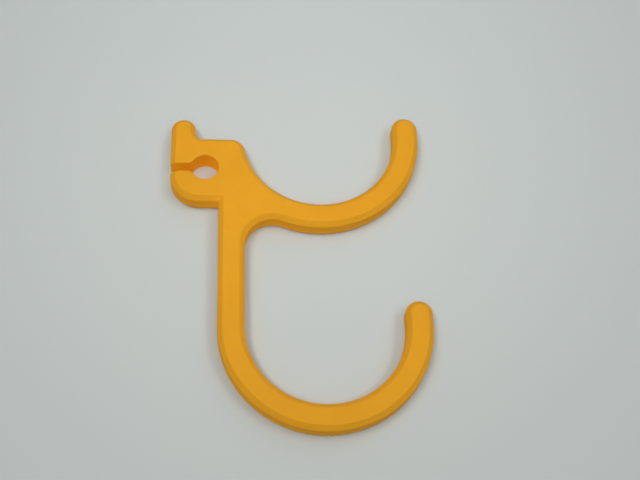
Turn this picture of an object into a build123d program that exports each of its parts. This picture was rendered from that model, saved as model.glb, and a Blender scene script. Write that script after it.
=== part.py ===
"""Double hook for a slotted board, printed in one piece.

The hook lies flat: X points away from the board, Y points up as the hook hangs, and Z runs through
its thickness. The origin is the middle of the slot, in the plane of the board's front face.
Lengths are in millimetres.
"""
import os
from math import sqrt

from build123d import *

# The board: a sheet with upright slots, and the play that the hook has in a slot
board_thickness = 5.0
slot_width = 5.0
slot_height = 15.0
slot_clearance = 0.1

# The head, which passes through the slot, and the prong that rises behind the board
prong_width = 5.1
prong_rise = 4.7
prong_fillet = 1.4
heel_radius = 6.0

# The stem, and the upper and lower cradles that curve away from it
arm_width = 5.4
cradle_radius = 16.0
tip_length = 2.5
shoulder_width = 5.1  # from the board's face to the upper cradle's seat
upper_rise = 0.6  # from the head's top to the upper cradle's centre
lower_drop = 27.4  # from the head's underside to the lower cradle's centre
shoulder_radius = 3.2
armpit_fillet = 5.8

# The slit and the round eye that let the head's lower jaw spring
eye_diameter = 5.7
eye_setback = 2.9  # from the board's face back to the eye's centre
eye_rise = 0.15  # from the slot's middle up to the eye's centre
slit_width = 1.8
slit_flare = 1.5

# The bevel round the whole outline, on both faces
edge_bevel = 1.0

# How far a cut runs past the faces that it opens
overshoot = 1.0

# Sizes and places that follow from those above
thickness = slot_width - slot_clearance
head_top = (slot_height - slot_clearance) / 2
head_underside = -head_top
head_back = -board_thickness - prong_width
outer_radius = cradle_radius + arm_width
upper_x = shoulder_width + cradle_radius
upper_y = head_top + upper_rise
lower_x = arm_width + cradle_radius
lower_y = head_underside - lower_drop


def plate(left, right, bottom, top):
    """A rectangle given by its four sides."""
    return Pos(left, bottom) * Rectangle(right - left, top - bottom, align=Align.MIN)


def head():
    """The block that fills the slot and reaches the stem, and the prong with its round top."""
    block = plate(head_back, arm_width, head_underside, head_top)
    prong_radius = prong_width / 2
    round_top_y = head_top + prong_rise - prong_radius
    prong = plate(head_back, -board_thickness, head_top, round_top_y)
    round_top = Pos(head_back + prong_radius, round_top_y) * Circle(prong_radius)
    return block + prong + round_top


def cradle():
    """A half ring that opens upwards, and a short straight tip with a round end on its far side."""
    ring = Circle(outer_radius) - Circle(cradle_radius)
    half_ring = ring & plate(-outer_radius, outer_radius, -outer_radius, 0)
    tip = plate(cradle_radius, outer_radius, 0, tip_length)
    round_end = Pos(cradle_radius + arm_width / 2, tip_length) * Circle(arm_width / 2)
    return half_ring + tip + round_end


def round_corner(outline, x, y, radius):
    """The outline with its corner at the given point rounded."""
    corner = outline.vertices().sort_by_distance((x, y, 0))[0]
    return fillet(corner, radius)


def profile():
    """The hook's outline, without the slit and the eye."""
    stem = plate(0, arm_width, lower_y, head_top)
    lower = Pos(lower_x, lower_y) * cradle()
    above_head = plate(upper_x - outer_radius, upper_x, head_top, upper_y)
    upper = Pos(upper_x, upper_y) * cradle() - above_head
    seat = Pos(upper_x, upper_y) * Circle(cradle_radius)
    outline = head() + stem + lower + upper - seat

    armpit_y = upper_y - sqrt(outer_radius**2 - (upper_x - arm_width) ** 2)
    shoulder_x = upper_x - sqrt(cradle_radius**2 - upper_rise**2)
    outline = round_corner(outline, arm_width, armpit_y, armpit_fillet)
    outline = round_corner(outline, shoulder_x, head_top, shoulder_radius)
    outline = round_corner(outline, -board_thickness, head_top, prong_fillet)
    return round_corner(outline, head_back, head_underside, heel_radius)


def spring_relief():
    """The outline of the slit from the head's back, flared where it runs into the round eye."""
    eye_radius = eye_diameter / 2
    slit_bottom = eye_rise - slit_width / 2
    slit_top = eye_rise + slit_width / 2
    slit_end_x = -eye_setback - sqrt(eye_radius**2 - (slit_width / 2) ** 2)
    slit = plate(head_back - overshoot, -eye_setback, slit_bottom, slit_top)
    relief = slit + Pos(-eye_setback, eye_rise) * Circle(eye_radius)
    relief = round_corner(relief, slit_end_x, slit_bottom, slit_flare)
    return round_corner(relief, slit_end_x, slit_top, slit_flare)


def hook():
    """The outline at its full thickness, bevelled on both faces, with the slit and eye cut square."""
    body = extrude(profile(), amount=thickness / 2, both=True)
    faces = body.faces().sort_by(Axis.Z)
    body = chamfer(faces[0].edges() + faces[-1].edges(), edge_bevel)
    return body - extrude(spring_relief(), amount=thickness / 2 + overshoot, both=True)


os.makedirs("parts", exist_ok=True)
export_step(hook(), "parts/hook.step")
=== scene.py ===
"""Looks of a double hook printed in orange plastic, lying flat on a pale table."""
import math

import bmesh
import bpy
from mathutils import Matrix, Vector, noise


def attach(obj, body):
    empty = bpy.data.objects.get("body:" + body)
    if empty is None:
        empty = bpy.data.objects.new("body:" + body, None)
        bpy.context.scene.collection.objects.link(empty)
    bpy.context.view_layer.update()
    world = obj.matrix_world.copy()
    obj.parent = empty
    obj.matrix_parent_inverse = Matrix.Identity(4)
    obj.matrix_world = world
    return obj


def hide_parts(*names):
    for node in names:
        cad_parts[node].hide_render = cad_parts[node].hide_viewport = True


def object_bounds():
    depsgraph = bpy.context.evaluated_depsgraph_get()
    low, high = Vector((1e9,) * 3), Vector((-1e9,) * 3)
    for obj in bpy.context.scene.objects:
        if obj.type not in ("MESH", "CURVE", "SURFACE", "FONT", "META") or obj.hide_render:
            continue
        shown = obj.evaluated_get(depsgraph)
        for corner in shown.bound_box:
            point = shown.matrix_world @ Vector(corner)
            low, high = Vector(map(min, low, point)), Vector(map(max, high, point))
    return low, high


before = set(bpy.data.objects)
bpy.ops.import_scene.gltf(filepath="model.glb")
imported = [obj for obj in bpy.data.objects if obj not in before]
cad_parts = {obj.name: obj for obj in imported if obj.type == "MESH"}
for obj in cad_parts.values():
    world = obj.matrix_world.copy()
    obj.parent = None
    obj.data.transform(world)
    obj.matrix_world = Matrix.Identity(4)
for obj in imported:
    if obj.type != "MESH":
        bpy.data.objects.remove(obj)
cad_low, cad_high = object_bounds()

# Lengths are in metres and angles in degrees
millimetre = 0.001

# Camera: what it looks at on the table, how far off it stands, how it is turned, and the nearest and
# the farthest that it sees, as shares of its distance
camera_target = Vector((0.02109, -0.01425, cad_low.z))
camera_distance = 0.2242
camera_tilt = 26.44
camera_turn = -10.52
camera_roll = 9.83
camera_nearest = 0.01
camera_farthest = 100
image_width = 640
focal_pixels = 1076.6  # focal length in pixels of the image

# Table: its size, colour and gloss
table_half_width = 1.5
table_color = (0.549, 0.587, 0.571, 1)
table_roughness = 0.7
table_specular = 0.2

# Glow all round: its colour, and its strength from the camera's side and from the far side
glow_color = (1, 1, 1, 1)
near_side = -1  # the heading's Y on either side
far_side = 1
glow_near = 0.195
glow_far = 0.366

# Soft boxes: place, aim, width, depth, spread and power of each
hook_middle = (0.02, -0.02, 0)
soft_boxes = {
    "left": ((-0.83, -0.345, 2.33), hook_middle, 1.35, 0.6, 180, 20.2),
    "right": ((1.19, -0.135, 2.205), hook_middle, 1.3, 0.6, 180, 10.6),
    "back": ((1.13, 1.21, 1.35), hook_middle, 0.75, 0.75, 180, 3.1),
    "top": ((0.03, 0, 0.22), (0.03, 0, 0), 0.08, 0.08, 180, 0.0344),
    "front": ((0, -0.11, 0.2), (0.02, 0.027, 0), 0.08, 0.08, 48, 0.0116),
}

# Rounding of the sharp edges: its width on each side of an edge, its steps and its profile
round_width = 0.15 * millimetre
round_steps = 3
round_profile = 0.5
facet_angle = 0.2  # facets that turn by less than this are one face
sharp_angle = 20  # edges that turn by more than this are sharp

# Rounder corner of the jaw at the slit's mouth: its height, its reach in from the head's back, how
# closely they are met, and the width and steps of its rounding
jaw_top = -0.75 * millimetre
jaw_corner_reach = 1.1 * millimetre
jaw_corner_tolerance = 0.01 * millimetre
jaw_round_width = 0.6 * millimetre
jaw_round_steps = 6

# Printed layers: how many, the seams between them, and how a layer strays from the plain solid
layer_count = 25
layer_height = (cad_high.z - cad_low.z) / layer_count
groove_depth = 0.03 * millimetre
groove_half_width = 0.045 * millimetre
step_depth = 0.04 * millimetre
ripple_depth = 0.02 * millimetre
ripple_length = 9 * millimetre
layer_stride = 3.7  # how far the ripple moves on from one layer to the next
end_margin = 0.01  # share of a layer that stays as it is at the top and at the bottom

# Mesh: points closer than this are one, faces more level than this are flat, and edges that turn by
# more than this are shaded as sharp
weld_distance = 0.0001 * millimetre
level_normal = 0.9999
crease_angle = 28

# Plastic: its colour in the dark and the light patches of a faint mottling, and the brighter, redder
# colour of a painted glow in its recesses that stands in for bounced light and light through the
# plastic
plastic_dark = (0.728, 0.324, 0.0168, 1)
plastic_light = (0.768, 0.35, 0.0177, 1)
painted_recess_glow = (1.0, 0.44, 0.01, 1)
plastic_specular = 0.06
mottle_size = 6.5 * millimetre
mottle_detail = 5
streak_length = 12 * millimetre
streak_share = 0.4
tone_low = 0.35
tone_high = 0.65
recess_reach = 6 * millimetre
recess_closed = 0.5
recess_open = 0.95

# Grain of the plastic's skin, which varies its gloss and its relief
grain_size = 0.35 * millimetre
grain_detail = 2
roughness_low = 0.44
roughness_high = 0.58
grain_height = 0.004 * millimetre
grain_strength = 0.5


def add_camera():
    """A camera over the table's near side, tilted off the vertical and rolled a little."""
    tilt, turn, roll = (math.radians(a) for a in (camera_tilt, camera_turn, camera_roll))
    aside = math.sin(tilt)
    back = Vector((aside * math.sin(turn), -aside * math.cos(turn), math.cos(tilt)))
    level = Vector((math.cos(turn), math.sin(turn), 0))
    upright = back.cross(level)
    right = math.cos(roll) * level + math.sin(roll) * upright
    up = math.cos(roll) * upright - math.sin(roll) * level
    data = bpy.data.cameras.new("camera")
    data.lens = focal_pixels / image_width * data.sensor_width
    data.clip_start = camera_distance * camera_nearest
    data.clip_end = camera_distance * camera_farthest
    camera = bpy.data.objects.new("camera", data)
    axes = Matrix((right, up, back)).transposed().to_4x4()
    camera.matrix_world = Matrix.Translation(camera_target + camera_distance * back) @ axes
    bpy.context.scene.collection.objects.link(camera)
    bpy.context.scene.camera = camera


def add_table():
    """A wide plain table top under the hook."""
    half = table_half_width
    z = cad_low.z
    mesh = bpy.data.meshes.new("table")
    corners = [(-half, -half, z), (half, -half, z), (half, half, z), (-half, half, z)]
    mesh.from_pydata(corners, [], [(0, 1, 2, 3)])
    table = bpy.data.objects.new("table", mesh)
    bpy.context.scene.collection.objects.link(table)
    material = bpy.data.materials.new("table")
    material.use_nodes = True
    shader = material.node_tree.nodes["Principled BSDF"]
    shader.inputs["Base Color"].default_value = table_color
    shader.inputs["Roughness"].default_value = table_roughness
    shader.inputs["Specular IOR Level"].default_value = table_specular
    mesh.materials.append(material)


def add_noise(nodes, links, vector, scale=1, detail=0):
    """A noise texture on the given vector."""
    texture = nodes.new("ShaderNodeTexNoise")
    texture.inputs["Scale"].default_value = scale
    texture.inputs["Detail"].default_value = detail
    links.new(vector, texture.inputs["Vector"])
    return texture.outputs["Fac"]


def add_range(nodes, links, value, from_low, from_high, to_low, to_high):
    """The value carried over from one range to another."""
    scale = nodes.new("ShaderNodeMapRange")
    scale.inputs["From Min"].default_value = from_low
    scale.inputs["From Max"].default_value = from_high
    scale.inputs["To Min"].default_value = to_low
    scale.inputs["To Max"].default_value = to_high
    links.new(value, scale.inputs["Value"])
    return scale.outputs["Result"]


def add_glow():
    """A glow all round, fainter on the camera's side."""
    world = bpy.data.worlds.new("studio")
    world.use_nodes = True
    nodes = world.node_tree.nodes
    links = world.node_tree.links
    background = nodes["Background"]
    background.inputs["Color"].default_value = glow_color
    heading = nodes.new("ShaderNodeTexCoord")
    split = nodes.new("ShaderNodeSeparateXYZ")
    links.new(heading.outputs["Generated"], split.inputs["Vector"])
    strength = add_range(nodes, links, split.outputs["Y"], near_side, far_side, glow_near, glow_far)
    links.new(strength, background.inputs["Strength"])
    bpy.context.scene.world = world


def add_soft_box(name, place, aim, width, depth, spread, power):
    """A soft box that faces its aim and sheds its light within the spread."""
    data = bpy.data.lights.new(name, "AREA")
    data.shape = "RECTANGLE"
    data.size = width
    data.size_y = depth
    data.spread = math.radians(spread)
    data.energy = power
    light = bpy.data.objects.new(name, data)
    light.location = place
    light.visible_camera = False
    light.rotation_euler = (Vector(aim) - Vector(place)).to_track_quat("-Z", "Y").to_euler()
    bpy.context.scene.collection.objects.link(light)


def round_off(shape, edges, width, steps):
    """Rounds the given edges."""
    bmesh.ops.bevel(
        shape, geom=edges, offset=width, segments=steps, profile=round_profile, affect="EDGES",
        clamp_overlap=True
    )


def on_jaw_corner(point):
    """Whether a point lies on the jaw's corner at the slit's mouth."""
    return abs(point.y - jaw_top) < jaw_corner_tolerance and point.x < cad_low.x + jaw_corner_reach


def round_edges(shape):
    """Takes the sharpness off every edge, and more of it off the jaw's corner."""
    bmesh.ops.dissolve_limit(
        shape, angle_limit=math.radians(facet_angle), verts=shape.verts, edges=shape.edges
    )
    corner = [edge for edge in shape.edges if all(on_jaw_corner(vert.co) for vert in edge.verts)]
    round_off(shape, corner, jaw_round_width, jaw_round_steps)
    sharp = [edge for edge in shape.edges if edge.calc_face_angle(0) > math.radians(sharp_angle)]
    round_off(shape, sharp, round_width, round_steps)


def cut_layers(shape):
    """Cuts an edge loop into the sides along each seam between layers, and one on either side."""
    for seam in range(1, layer_count):
        for shift in (-groove_half_width, 0, groove_half_width):
            z = cad_low.z + seam * layer_height + shift
            everything = shape.verts[:] + shape.edges[:] + shape.faces[:]
            bmesh.ops.bisect_plane(
                shape, geom=everything, dist=weld_distance, plane_co=(0, 0, z), plane_no=(0, 0, 1)
            )


def shape_layers(shape):
    """Sinks the seams, steps the bevels and lets each layer waver, always inwards on the walls."""
    shape.normal_update()
    moves = []
    for vert in shape.verts:
        height = (vert.co.z - cad_low.z) / layer_height
        outward = Vector((vert.normal.x, vert.normal.y, 0))
        if not end_margin < height < layer_count - end_margin or outward.length == 0:
            continue
        layer = math.floor(height)
        part = height - layer
        rise = min(1, min(part, 1 - part) * layer_height / groove_half_width)
        step = step_depth * vert.normal.z * (2 * part - 1)
        place = Vector((vert.co.x / ripple_length, vert.co.y / ripple_length, layer * layer_stride))
        waver = ripple_depth * (noise.noise(place) + 1) / 2
        move = rise * (step - waver) - (1 - rise) * groove_depth
        moves.append((vert, outward.normalized() * move))
    for vert, move in moves:
        vert.co += move


def add_hook():
    """The hook with its rounded edges and printed layers, in place of the plain solid."""
    shape = bmesh.new()
    shape.from_mesh(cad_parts["hook"].data)
    bmesh.ops.remove_doubles(shape, verts=shape.verts, dist=weld_distance)
    round_edges(shape)
    cut_layers(shape)
    shape_layers(shape)
    shape.normal_update()
    for face in shape.faces:
        face.smooth = abs(face.normal.z) < level_normal
    mesh = bpy.data.meshes.new("printed_hook")
    shape.to_mesh(mesh)
    shape.free()
    stale = mesh.attributes.get("custom_normal")
    if stale:
        mesh.attributes.remove(stale)
    mesh.set_sharp_from_angle(angle=math.radians(crease_angle))
    mesh.materials.append(plastic())
    hook = bpy.data.objects.new("printed_hook", mesh)
    bpy.context.scene.collection.objects.link(hook)
    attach(hook, "root")
    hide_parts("hook")


def plastic():
    """Satin orange plastic, faintly mottled, streaked along its layers, with a brighter painted glow
    in its recesses that stands in for bounced light.
    """
    material = bpy.data.materials.new("orange_plastic")
    material.use_nodes = True
    nodes = material.node_tree.nodes
    links = material.node_tree.links
    shader = nodes["Principled BSDF"]
    shader.inputs["Specular IOR Level"].default_value = plastic_specular
    place = nodes.new("ShaderNodeTexCoord").outputs["Object"]

    mottle = add_noise(nodes, links, place, 1 / mottle_size, mottle_detail)
    along_layers = nodes.new("ShaderNodeMapping")
    streak_scale = (1 / streak_length, 1 / streak_length, 1 / layer_height)
    along_layers.inputs["Scale"].default_value = streak_scale
    links.new(place, along_layers.inputs["Vector"])
    streaks = add_noise(nodes, links, along_layers.outputs["Vector"])
    marks = nodes.new("ShaderNodeMix")
    marks.inputs["Factor"].default_value = streak_share
    links.new(mottle, marks.inputs["A"])
    links.new(streaks, marks.inputs["B"])
    tone = nodes.new("ShaderNodeValToRGB")
    low, high = tone.color_ramp.elements
    low.position = tone_low
    low.color = plastic_dark
    high.position = tone_high
    high.color = plastic_light
    links.new(marks.outputs["Result"], tone.inputs["Fac"])

    # Painted glow: the colour turns brighter and redder where the plastic's own hollows close in,
    # standing in for bounced light and light through the plastic
    recess = nodes.new("ShaderNodeAmbientOcclusion")
    recess.inputs["Distance"].default_value = recess_reach
    openness = add_range(nodes, links, recess.outputs["AO"], recess_closed, recess_open, 0, 1)
    painted_glow_blend = nodes.new("ShaderNodeMix")
    painted_glow_blend.data_type = "RGBA"
    painted_glow_blend.inputs["A"].default_value = painted_recess_glow
    links.new(openness, painted_glow_blend.inputs["Factor"])
    links.new(tone.outputs["Color"], painted_glow_blend.inputs["B"])
    links.new(painted_glow_blend.outputs["Result"], shader.inputs["Base Color"])

    grain = add_noise(nodes, links, place, 1 / grain_size, grain_detail)
    roughness = add_range(nodes, links, grain, 0, 1, roughness_low, roughness_high)
    links.new(roughness, shader.inputs["Roughness"])
    relief = nodes.new("ShaderNodeBump")
    relief.inputs["Strength"].default_value = grain_strength
    relief.inputs["Distance"].default_value = grain_height
    links.new(grain, relief.inputs["Height"])
    links.new(relief.outputs["Normal"], shader.inputs["Normal"])
    return material


bpy.context.scene.view_settings.view_transform = "Standard"
add_camera()
add_table()
add_glow()
for box_name, settings in soft_boxes.items():
    add_soft_box(box_name, *settings)
add_hook()
